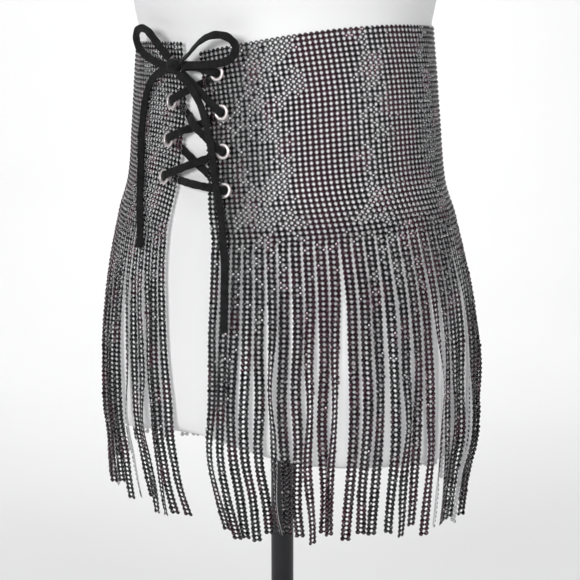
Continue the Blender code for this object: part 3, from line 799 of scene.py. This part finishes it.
def flatNet(columns, rows, wideRows):
    # bevelled grid corners leave an eight-sided pad under each stone and a hole between four
    settings = stoneMesh
    wideEnd = (wideRows + 0.5) * settings["down"]
    bm = bmesh.new()
    bmesh.ops.create_grid(bm, x_segments=columns, y_segments=rows, size=0.5)
    size = Matrix.Diagonal((columns * settings["across"], rows * settings["down"], 1, 1))
    bmesh.ops.transform(bm, matrix=size @ Matrix.Translation((0.5, 0.5, 0)), verts=bm.verts)
    wide = [vert for vert in bm.verts if vert.co.y < wideEnd]
    narrow = [vert for vert in bm.verts if vert.co.y > wideEnd]
    for corners, hole in ((narrow, settings["strandHole"]), (wide, settings["hole"])):
        if corners:
            bmesh.ops.bevel(
                bm, geom=corners, offset=hole, offset_type="OFFSET", affect="VERTICES",
                segments=1, profile=0.5, material=-1, clamp_overlap=True)
    padSides = 8
    holes = [face for face in bm.faces if len(face.verts) < padSides]
    bmesh.ops.delete(bm, geom=holes, context="FACES")
    return bm


def beltPlaces(x, y):
    # x runs round the belt and y down it, in the flat cloth
    settings = stoneMesh
    fraction = x / (settings["columns"] * settings["across"])
    drop = y / (settings["beltRows"] * settings["down"])
    angle = panelAngle(fraction, drop)
    top = beltTop(angle)
    low = beltBottom(angle) + settings["stripHeight"]
    height = top + (low - top) * drop
    down = (top - height) / (top - beltBottom(angle))
    return clothPlaces(panelAngle(fraction, down), height)


def stoneShape():
    # eight-sided crown that turns half a facet up to a small flat table
    settings = stoneMesh
    bm = bmesh.new()
    bmesh.ops.create_circle(bm, segments=settings["sides"], radius=settings["stone"], cap_ends=True)
    top = bmesh.ops.extrude_face_region(bm, geom=bm.faces[:])["geom"]
    half = Matrix.Rotation(math.pi / settings["sides"], 4, "Z")
    narrow = Matrix.Diagonal((settings["table"], settings["table"], 1, 1))
    raised = Matrix.Translation((0, 0, settings["stoneHeight"]))
    bmesh.ops.transform(bm, matrix=raised @ narrow @ half, verts=vertsOf(top))
    bmesh.ops.recalc_face_normals(bm, faces=bm.faces)
    bmesh.ops.triangulate(bm, faces=bm.faces, quad_method="SHORT_EDGE")
    bm.verts.index_update()
    verts = np.array([vert.co[:] for vert in bm.verts])
    faces = np.array([[vert.index for vert in face.verts] for face in bm.faces])
    bm.free()
    return verts, faces


def waveAt(centres, start):
    # gentle waves of the cloth, as a lean in degrees
    angle = np.arctan2(centres[:, 0], -centres[:, 1])
    total = 0.0
    for size, around, down, phase in stoneMesh["waves"]:
        turns = angle * stoneMesh["waveRadius"] / around + centres[:, 2] / down
        total = total + size * np.sin(2 * math.pi * turns + phase + start)
    return total[:, None]


def paintedPlumReflection(centres):
    # painted plum reflection: soft upright patches by the angle round, broken up by the cloth's waves
    settings = stoneMesh["patches"]
    degrees = np.degrees(np.arctan2(centres[:, 0], -centres[:, 1])) % 360
    cast = sum(np.exp(-((degrees - at) / wide) ** 2) for at, wide in stoneMesh["plumReflectionAt"])
    patches = easeIn(settings["from"], settings["full"], waveAt(centres, settings["start"])[:, 0])
    return np.clip(cast * stoneMesh["plumReflectionStrength"] + patches * settings["strength"], 0, 1)


def setValues(mesh, name, values, repeats):
    attribute = mesh.attributes.new(name, "FLOAT", "POINT")
    attribute.data.foreach_set("value", np.repeat(values, repeats).astype(np.float32))


def setStones(name, shape, centres, normals, sideways, glass, cadNode, seed, tilt):
    # one joined mesh of stones, each a little out of true
    settings = stoneMesh
    verts, faces = shape
    rng = np.random.default_rng(seed)
    count = len(centres)
    upward = unitRows(np.cross(normals, sideways))
    start, share = settings["waveAhead"]
    aside = np.radians(rng.normal(size=(count, 1)) * tilt + waveAt(centres, 0.0))
    ahead = np.radians(rng.normal(size=(count, 1)) * tilt + waveAt(centres, start) * share)
    normals = unitRows(normals + aside * sideways + ahead * upward)
    roll = rng.uniform(0, 2 * math.pi, (count, 1))
    right = unitRows(np.cross(upward, normals))
    upward = np.cross(normals, right)
    first = right * np.cos(roll) + upward * np.sin(roll)
    second = np.cross(normals, first)
    size = 1 + rng.uniform(-settings["sizeSpread"], settings["sizeSpread"], (count, 1, 1))
    places = centres - normals * (settings["netDepth"] + settings["seat"])
    level = first[:, None] * verts[None, :, :1] + second[:, None] * verts[None, :, 1:2]
    points = places[:, None] + size * level + normals[:, None] * verts[None, :, 2:]
    corners = faces[None] + np.arange(count)[:, None, None] * len(verts)
    mesh = bpy.data.meshes.new(name)
    mesh.vertices.add(count * len(verts))
    mesh.vertices.foreach_set("co", points.astype(np.float32).ravel())
    mesh.loops.add(corners.size)
    mesh.loops.foreach_set("vertex_index", corners.astype(np.int32).ravel())
    mesh.polygons.add(count * len(faces))
    mesh.polygons.foreach_set("loop_start", np.arange(0, corners.size, 3, dtype=np.int32))
    mesh.update(calc_edges=True)
    mesh.shade_flat()
    setValues(mesh, "stoneTint", rng.random(count), len(verts))
    # each stone's share of the painted plum reflection, read by the glass
    setValues(mesh, "paintedPlumReflection", paintedPlumReflection(centres), len(verts))
    return finishPiece(name, mesh, [glass], cadNode)


def clearOfEyelets(points, reach):
    spots = [(side, row) for side in ("left", "right") for row in range(eyeletSettings["rows"])]
    centres = np.array([eyeletFrame(side, row).translation[:] for side, row in spots])
    gaps = np.linalg.norm(points[:, None] - centres[None], axis=-1)
    return gaps.min(axis=1) > reach


def makeNet(name, bm, materials, cadNode):
    # dark in front, silver behind and in the holes
    net = buildPiece(name, bm, materials, cadNode, smooth=False)
    wall = net.modifiers.new("net", "SOLIDIFY")
    wall.thickness = stoneMesh["netThick"]
    wall.offset = -1.0
    wall.material_offset = 1
    wall.material_offset_rim = 1
    return net


def makeBelt(glass, netFront, netBack, shape):
    settings = stoneMesh
    bm = flatNet(settings["columns"], settings["beltRows"], settings["beltRows"])
    flat = np.array([vert.co[:] for vert in bm.verts])
    places, normals, _ = beltPlaces(flat[:, 0], flat[:, 1])
    moveVerts(bm.verts, places - normals * settings["netDepth"])
    pads = np.array([face.calc_center_median()[:] for face in bm.faces])
    kept = clearOfEyelets(pads, eyeletSettings["barrel"] + eyeletSettings["netClear"])
    lost = [face for face, keep in zip(bm.faces, kept) if not keep]
    bmesh.ops.delete(bm, geom=lost, context="FACES")
    bmesh.ops.reverse_faces(bm, faces=bm.faces)
    net = makeNet("belt_net", bm, [netFront, netBack], "belt_band")
    columns, rows = np.meshgrid(np.arange(settings["columns"]), np.arange(settings["beltRows"]))
    x = (columns.ravel() + 0.5) * settings["across"]
    y = (rows.ravel() + 0.5) * settings["down"]
    centres, normals, sideways = beltPlaces(x, y)
    reach = eyeletSettings["ring"] + settings["stone"] * eyeletSettings["stoneClear"]
    free = clearOfEyelets(centres, reach)
    stones = setStones(
        "belt_stones", shape, centres[free], normals[free], sideways[free], glass, "belt_band",
        settings["seed"], settings["tilt"])
    return net, stones


def drawStrands():
    # the same draws, in the same order, as the solids' strands
    settings = strandSettings
    rng = random.Random(settings["seed"])
    count = settings["count"]

    def draws(low, high):
        return np.array([rng.uniform(low, high) for _ in range(count)])

    strands = {"wander": draws(-1, 1) * settings["wander"]}
    strands["length"] = settings["length"] + draws(-1, 1) * settings["uneven"]
    strands["curl"] = 1 + draws(-1, 1) * settings["curlUneven"]
    twists = []
    for _ in range(count):
        share = rng.random()
        turn = rng.uniform(-settings["twistMost"], settings["twistMost"])
        if share >= settings["twistShare"]:
            turn *= settings["twistSlight"]
        twists.append(math.radians(turn))
    strands["twist"] = np.array(twists)
    strands["phase"] = draws(0, 2 * math.pi)
    strands["waves"] = draws(*settings["waveCount"])
    strands["out"] = draws(0, 1) * settings["apartOut"]
    strands["lean"] = draws(-1, 1) * settings["lean"]
    steps = np.arange(count)
    for length in settings["leanLengths"]:
        sway = np.sin(steps * 2 * math.pi / length + rng.uniform(0, 2 * math.pi))
        strands["lean"] += sway * settings["leanTogether"] / len(settings["leanLengths"])
    for k in range(count):
        if rng.random() < settings["wildShare"]:
            strands["twist"][k] = math.radians(settings["wildTurn"]) * rng.choice((-1, 1))
    most, reach = settings["towardsCamera"]
    strands["twist"] += most * np.clip(1 - (count - 1 - steps) / reach, 0, 1) ** 0.5
    strands["rows"] = np.round(strands["length"] / stoneMesh["down"]).astype(int)
    return strands


def spreadStrands(strands, stop):
    # arc place of every strand's middle at a stop, kept clear of its neighbours
    settings = strandSettings
    first = firstArc + settings["width"] / 2
    last = lastArc - settings["width"] / 2
    roots = np.linspace(first, last, settings["count"])
    grow = float(easeIn(0.0, settings["driftEnd"], stop))
    row = roots + strands["wander"] * grow
    for degrees, opening in zip(partings["degrees"], partings["opening"]):
        off = roots - angleToArc(math.radians(degrees))
        fade = np.exp(-np.abs(off) / settings["partingReach"])
        row = row + np.sign(off) * fade * opening / 2 * grow
    fade = np.exp(-((last - roots) / settings["swingReach"]) ** 2)
    row = row + settings["swingPush"] * fade * grow
    for _ in range(settings["passes"]):
        short = np.clip(settings["width"] + settings["apart"] - np.diff(row), 0.0, None)
        row[:-1] -= short / 2
        row[1:] += short / 2
    return row


strands = drawStrands()
spreadSteps = 64
spreadStops = np.arange(spreadSteps + 1) / spreadSteps
spreadTable = np.array([spreadStrands(strands, stop) for stop in spreadStops])


def shareFrom(start, stop):
    # share of the rest of the length that lies behind a stop
    return np.clip((stop - start) / (1 - start), 0, None)


def strandPlaces(strand, aside, row):
    # strand is the index, aside the offset from its middle, row the count of stones down its length
    settings = strandSettings
    upward = [0.0, 0.0, 1.0]
    stop = np.clip(row / strands["rows"][strand], 0, 1)
    step = np.minimum((stop * spreadSteps).astype(int), spreadSteps - 1)
    part = stop * spreadSteps - step
    arc = spreadTable[step, strand] * (1 - part) + spreadTable[step + 1, strand] * part
    angle = arcToAngle(arc)
    rootAngle = arcToAngle(spreadTable[0, strand])
    root = beltBottom(rootAngle)
    height = root - row * strands["length"][strand] / strands["rows"][strand]
    reach = readShape(beltLine, "curl", np.degrees(rootAngle) % 360)
    bend = shareFrom(settings["curlStart"], stop) ** settings["curlPower"]
    loose = easeIn(*settings["looseFrom"], stop)
    wave = np.sin(stop * strands["waves"][strand] * 2 * math.pi + strands["phase"][strand]) * loose
    curl = reach * strands["curl"][strand] * bend + settings["sway"] * (1 + wave)
    curl = curl - strands["out"][strand] * loose
    twist = strands["twist"][strand] * easeIn(settings["twistStart"], settings["twistEnd"], stop)
    twist = twist + settings["twistWave"] * wave
    standOff = settings["width"] * settings["turnedIn"] * abs(np.sin(twist))
    curl = curl - standOff * (1 - easeIn(*settings["turnedInEnd"], stop))
    surface, normal, sideways = clothPlaces(angle, height)
    inward = -unitRows(normal * [1.0, 1.0, 0.0])
    cosine = np.cos(twist)[..., None]
    sine = np.sin(twist)[..., None]
    turnedSide = sideways * cosine + np.cross(upward, sideways) * sine
    turnedNormal = normal * cosine + np.cross(upward, normal) * sine
    turnedNormal[..., 2] = normal[..., 2]
    middle = surface + inward * curl[..., None]
    lean = shareFrom(settings["leanStart"], stop) ** settings["leanPower"]
    aslant = strands["lean"][strand] * lean + wave * settings["swayAside"]
    middle = middle + sideways * aslant[..., None]
    return middle + turnedSide * aside[..., None], unitRows(turnedNormal), turnedSide


def fringePlaces(x, y, strand):
    # the strip follows the belt's columns, and each strand then leaves them
    settings = stoneMesh
    strip = settings["stripHeight"]
    fraction = x / (settings["columns"] * settings["across"])
    angle = panelAngle(fraction, 1.0)
    height = beltBottom(angle) + strip - y
    down = (beltTop(angle) - height) / (beltTop(angle) - beltBottom(angle))
    angle = panelAngle(fraction, np.clip(down, 0, 1))
    onStrip, normal, sideways = clothPlaces(angle, height)
    row = (y - strip) / settings["down"]
    middle = (strand * 2 + 1) * settings["across"]
    aside = (x - middle) * strandSettings["halfColumn"] / (settings["across"] / 2)
    aside = np.clip(aside, -strandSettings["netHalf"], strandSettings["netHalf"])
    hung, hungNormal, hungSide = strandPlaces(strand, aside, row)
    blend = easeIn(*strandSettings["blendRows"], row)[..., None]
    place = onStrip * (1 - blend) + hung * blend
    normal = unitRows(normal * (1 - blend) + hungNormal * blend)
    return place, normal, unitRows(sideways * (1 - blend) + hungSide * blend)


def fringeNet(firstStrand, strandCount):
    # a flat net slit between the strands, cut to each strand's length
    settings = stoneMesh
    rows = settings["stripRows"] + int(strands["rows"].max())
    bm = flatNet(strandCount * 2, rows, settings["stripRows"])
    strandWidth = 2 * settings["across"]
    slitTop = settings["stripHeight"] - settings["down"] / 2
    tolerance = settings["across"] * 0.01

    def between(edge):
        a, b = (vert.co for vert in edge.verts)
        onLine = abs(a.x / strandWidth - round(a.x / strandWidth)) * strandWidth < tolerance
        return onLine and abs(a.x - b.x) < tolerance and (a.y + b.y) / 2 > slitTop + settings["down"]

    def past(face):
        centre = face.calc_center_median()
        strand = firstStrand + int(centre.x / strandWidth)
        return (centre.y - settings["stripHeight"]) / settings["down"] > strands["rows"][strand]

    bmesh.ops.split_edges(bm, edges=[edge for edge in bm.edges if between(edge)])
    bmesh.ops.delete(bm, geom=[face for face in bm.faces if past(face)], context="FACES")
    flat = np.array([vert.co[:] for vert in bm.verts])
    owners = []
    for vert in bm.verts:
        middle = sum(face.calc_center_median().x for face in vert.link_faces) / len(vert.link_faces)
        owners.append(min(int(middle / strandWidth), strandCount - 1) + firstStrand)
    x = flat[:, 0] + firstStrand * strandWidth
    places, normals, _ = fringePlaces(x, flat[:, 1], np.array(owners))
    moveVerts(bm.verts, places - normals * settings["netDepth"])
    bmesh.ops.reverse_faces(bm, faces=bm.faces)
    return bm


def makeFringe(glass, netFront, netBack, shape):
    settings = stoneMesh
    pieces = []
    half = strandSettings["count"] // 2
    for part, start in (("right", 0), ("left", half)):
        net = makeNet(f"fringe_net_{part}", fringeNet(start, half), [netFront, netBack], "fringe")
        spots = np.array([
            (2 * k + column + 0.5, row + 0.5) for k in range(start, start + half)
            for row in range(settings["stripRows"] + strands["rows"][k]) for column in (0, 1)])
        x = spots[:, 0] * settings["across"]
        y = spots[:, 1] * settings["down"]
        centres, normals, sideways = fringePlaces(x, y, (spots[:, 0] / 2).astype(int))
        stones = setStones(
            f"fringe_stones_{part}", shape, centres, normals, sideways, glass, "fringe",
            settings["seed"] + 1 + start, settings["strandTilt"])
        pieces += [net, stones]
    return pieces


# Dress form: how far it lies inside the cloth, and its own shape above the belt
formSettings = {
    "sides": 96,
    "coveredSteps": 46,
    "bareSteps": 46,
    "underside": 0.242,
    "undersideShrink": 0.55,
    "socket": 0.0094,
    "poleDepth": 0.060,
    "easeEnds": (13, 31),  # degrees from the front
    "rise": 0.0145,
    "risePower": 21,
    "riseTop": 0.340,
    "closer": 0.00055,
    "coveredTop": 0.555,
    "coveredPower": 1.6,  # over 1 puts more rings near the underside
    "bareFrom": 0.561,
    "top": 0.967,
    "sharp": 35,  # degrees, at and above which an edge stays sharp
}
insideCloth = {
    "height": (
        0.2420, 0.2430, 0.2480, 0.2600, 0.3000, 0.3350, 0.3650, 0.3880, 0.4020,
        0.4150, 0.4280, 0.4420, 0.4600, 0.4850, 0.5200, 0.5400, 0.5550),
    "inside": (
        0.0200, 0.0115, 0.0068, 0.0054, 0.0048, 0.0046, 0.0045, 0.0044, 0.0040,
        0.0036, 0.0033, 0.0032, 0.0032, 0.0031, 0.0031, 0.0031, 0.0031),
    "frontEase": (
        0.0, 0.0, 0.0, 0.0, 0.0, 0.0010, 0.0020, 0.0028, 0.0033,
        0.0033, 0.0033, 0.0033, 0.0033, 0.0033, 0.0033, 0.0030, 0.0022),
}
aboveBelt = {
    "height": (
        0.555, 0.566, 0.590, 0.640, 0.700, 0.750, 0.800, 0.840, 0.866, 0.884, 0.898, 0.914, 0.960, 0.967),
    "halfWidth": (
        0.1199, 0.1228, 0.1262, 0.1345, 0.1450, 0.1515, 0.1545, 0.1500, 0.1320, 0.1010, 0.0700, 0.0560,
        0.0530, 0.0500),
    "halfDepth": (
        0.0953, 0.0982, 0.1010, 0.1060, 0.1130, 0.1140, 0.1040, 0.0910, 0.0790, 0.0670, 0.0570, 0.0530,
        0.0520, 0.0490),
    "back": (
        0.000, 0.000, 0.000, -0.001, -0.004, -0.004, 0.002, 0.008, 0.012, 0.014, 0.014, 0.013, 0.011, 0.011),
}


def coveredRing(height, angles):
    settings = formSettings
    inside = readShape(insideCloth, "inside", height) - settings["closer"]
    halfWidth = readShape(clothShape, "halfWidth", height) - inside
    halfDepth = readShape(clothShape, "halfDepth", height) - inside
    fromMiddle = 180 - abs(180 - np.degrees(angles))
    ease = readShape(insideCloth, "frontEase", height)
    ease = ease * (1 - easeIn(*settings["easeEnds"], fromMiddle))
    fade = 1 - easeIn(settings["underside"], settings["riseTop"], height)
    rise = settings["rise"] * ((1 + np.cos(angles)) / 2) ** settings["risePower"] * fade
    return ovalRing(halfWidth, halfDepth, angles, height + rise, ease)


def bareRing(height, angles):
    columns = [readShape(aboveBelt, column, height) for column in ("halfWidth", "halfDepth", "back")]
    return ovalRing(columns[0], columns[1], angles, height, columns[2])


def makeForm(paint):
    settings = formSettings
    angles = np.arange(settings["sides"]) * 2 * math.pi / settings["sides"]
    low = settings["underside"]
    wide = settings["undersideShrink"] * readShape(clothShape, "halfWidth", low)
    deep = settings["undersideShrink"] * readShape(clothShape, "halfDepth", low)
    rings = [
        ovalRing(settings["socket"], settings["socket"], angles, low + settings["poleDepth"]),
        ovalRing(settings["socket"], settings["socket"], angles, low),
        ovalRing(wide, deep, angles, low),
    ]
    shares = np.linspace(0, 1, settings["coveredSteps"]) ** settings["coveredPower"]
    covered = low + (settings["coveredTop"] - low) * shares
    bare = np.linspace(settings["bareFrom"], settings["top"], settings["bareSteps"])
    rings += [coveredRing(height, angles) for height in covered]
    rings += [bareRing(height, angles) for height in bare]
    bm = bmesh.new()
    loop = bmesh.ops.create_circle(bm, segments=settings["sides"], radius=1.0)["verts"]
    moveVerts(loop, rings[0])
    edges = bm.edges[:]
    bmesh.ops.contextual_create(bm, geom=edges)
    for ring in rings[1:]:
        grown = bmesh.ops.extrude_edge_only(bm, edges=edges)["geom"]
        edges = [g for g in grown if isinstance(g, bmesh.types.BMEdge)]
        partner = {}
        for vert in vertsOf(grown):
            for edge in vert.link_edges:
                partner[edge.other_vert(vert)] = vert
        loop = [partner[vert] for vert in loop]
        moveVerts(loop, ring)
    bmesh.ops.contextual_create(bm, geom=edges)
    bmesh.ops.recalc_face_normals(bm, faces=bm.faces)
    buildPiece("form_shell", bm, [paint], "dress_form", sharp=settings["sharp"])


# Stand: a steel tube in a turned boss on a round plate
standSettings = {
    "pole": 0.0090,
    "socket": 0.0094,
    "socketFloor": 0.0080,
    "boss": 0.0180,
    "bossTop": 0.034,
    "plate": 0.165,
    "plateThick": 0.006,
    "edge": 0.0015,
    "fillet": 0.0045,
    "steps": 128,
    "edgeSteps": 5,
    "filletSteps": 7,
    "tubeEdgeSteps": 3,
    "sharp": 40,  # degrees, at and above which an edge stays sharp
}


def arcPoints(x, y, radius, start, end, steps):
    turns = [math.radians(start + (end - start) * k / steps) for k in range(steps + 1)]
    return [(x + radius * math.cos(turn), y + radius * math.sin(turn)) for turn in turns]


def makeStand(paint):
    settings = standSettings
    edge = settings["edge"]
    fillet = settings["fillet"]
    edgeSteps = settings["edgeSteps"]
    profile = [(0.0, settings["socketFloor"]), (settings["socket"], settings["socketFloor"])]
    profile.append((settings["socket"], settings["bossTop"]))
    profile += arcPoints(settings["boss"] - edge, settings["bossTop"] - edge, edge, 90, 0, edgeSteps)
    profile += arcPoints(
        settings["boss"] + fillet, settings["plateThick"] + fillet, fillet, 180, 270,
        settings["filletSteps"])
    profile += arcPoints(settings["plate"] - edge, settings["plateThick"] - edge, edge, 90, 0, edgeSteps)
    profile += [(settings["plate"], 0.0), (0.0, 0.0)]
    low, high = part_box("pole")
    side = settings["pole"] - edge
    tube = [(0.0, high.z)]
    tube += arcPoints(side, high.z - edge, edge, 90, 0, settings["tubeEdgeSteps"])
    tube += arcPoints(side, low.z + edge, edge, 0, -90, settings["tubeEdgeSteps"])
    tube.append((0.0, low.z))
    for name, outline, steps, node in (
            ("base_turned", profile, settings["steps"], "base_plate"),
            ("pole_tube", tube, settings["steps"] // 2, "pole")):
        bm = turnProfile(outline, steps, Matrix.Identity(4))
        buildPiece(name, bm, [paint], node, sharp=settings["sharp"])


# Seamless pale backdrop, daylight and softboxes
stageSettings = {
    "front": -6.0,
    "floorEnd": 1.5,
    "bend": 1.1,
    "wallTop": 4.0,
    "half": 5.0,
    "steps": 192,
    "aim": 0.47,  # height that the lamps look at
}
skySettings = {"colour": (1.0, 1.0, 1.0), "strength": 0.05}
lampSettings = (
    {"name": "frontBox", "azimuth": 4, "lift": 13.5, "distance": 1.8, "size": (1.08, 0.56), "power": 18.5},
    {"name": "sideBox", "azimuth": 79, "lift": 19, "distance": 1.8, "size": (0.66, 0.62), "power": 9.5},
    {"name": "topBox", "azimuth": 40, "lift": 67, "distance": 1.9, "size": (0.9, 0.6), "power": 4},
)
wallLampSettings = {"behind": 1.1, "height": 2.5, "size": (3.6, 0.7), "aim": (2.6, 0.2), "power": 68}


def stagePlace(run):
    # distance behind the form and height at a run along the floor and up the wall
    settings = stageSettings
    quarter = settings["bend"] * math.pi / 2
    past = run - settings["floorEnd"]
    if past < 0:
        return run, 0.0
    turn = min(past / quarter, 1.0) * math.pi / 2
    behind = settings["floorEnd"] + settings["bend"] * math.sin(turn)
    return behind, settings["bend"] * (1 - math.cos(turn)) + max(past - quarter, 0.0)


def addLamp(name, place, aim, size, power):
    data = bpy.data.lights.new(name, "AREA")
    data.shape = "RECTANGLE"
    data.size, data.size_y = size
    data.energy = power
    light = bpy.data.objects.new(name, data)
    light.location = place
    light.rotation_euler = (Vector(aim) - Vector(place)).to_track_quat("-Z", "Y").to_euler()
    bpy.context.scene.collection.objects.link(light)


def makeStage(paint):
    settings = stageSettings
    turn = Matrix.Rotation(math.radians(cameraSettings["azimuth"]), 4, "Z")
    length = settings["floorEnd"] - settings["front"]
    length += settings["bend"] * math.pi / 2 + settings["wallTop"]
    bm = bmesh.new()
    bmesh.ops.create_grid(bm, x_segments=1, y_segments=settings["steps"], size=0.5)
    for vert in bm.verts:
        behind, height = stagePlace(settings["front"] + (vert.co.y + 0.5) * length)
        vert.co = turn @ Vector((vert.co.x * 2 * settings["half"], behind, height))
    floor = bpy.data.objects.new("floor", meshFrom(bm, "floor", True, None))
    floor.data.materials.append(paint)
    bpy.context.scene.collection.objects.link(floor)
    world = bpy.data.worlds.new("daylight")
    world.use_nodes = True
    background = world.node_tree.nodes["Background"]
    background.inputs["Color"].default_value = (*skySettings["colour"], 1)
    background.inputs["Strength"].default_value = skySettings["strength"]
    bpy.context.scene.world = world
    aim = Vector((0, 0, settings["aim"]))
    for lamp in lampSettings:
        azimuth = math.radians(lamp["azimuth"])
        lift = math.radians(lamp["lift"])
        level = math.cos(lift)
        way = Vector((math.sin(azimuth) * level, -math.cos(azimuth) * level, math.sin(lift)))
        addLamp(lamp["name"], aim + way * lamp["distance"], aim, lamp["size"], lamp["power"])
    wall = wallLampSettings
    place = turn @ Vector((0, wall["behind"], wall["height"]))
    addLamp("wallBox", place, turn @ Vector((0, *wall["aim"])), wall["size"], wall["power"])
    bpy.context.scene.view_settings.view_transform = "Standard"


makeCamera(cameraSettings)
print("camera placed")
makeLaces(makeFinish("blackSuede"))
print("lace laid")
makeEyelets(makeFinish("nickelPlate"))
print("eyelets set")
glass = makeStoneGlass()
netFront = makeFinish("darkNetFace")
netBack = makeFinish("silverNetBack")
shape = stoneShape()
beltNet, beltStones = makeBelt(glass, netFront, netBack, shape)
print("belt made")
fringePieces = makeFringe(glass, netFront, netBack, shape)
print("fringe hung")
makeForm(makeFinish("whiteSatinShell"))
print("form made")
makeStand(makeFinish("blackPowderCoat"))
print("stand made")
makeStage(makeFinish("paleFloor"))
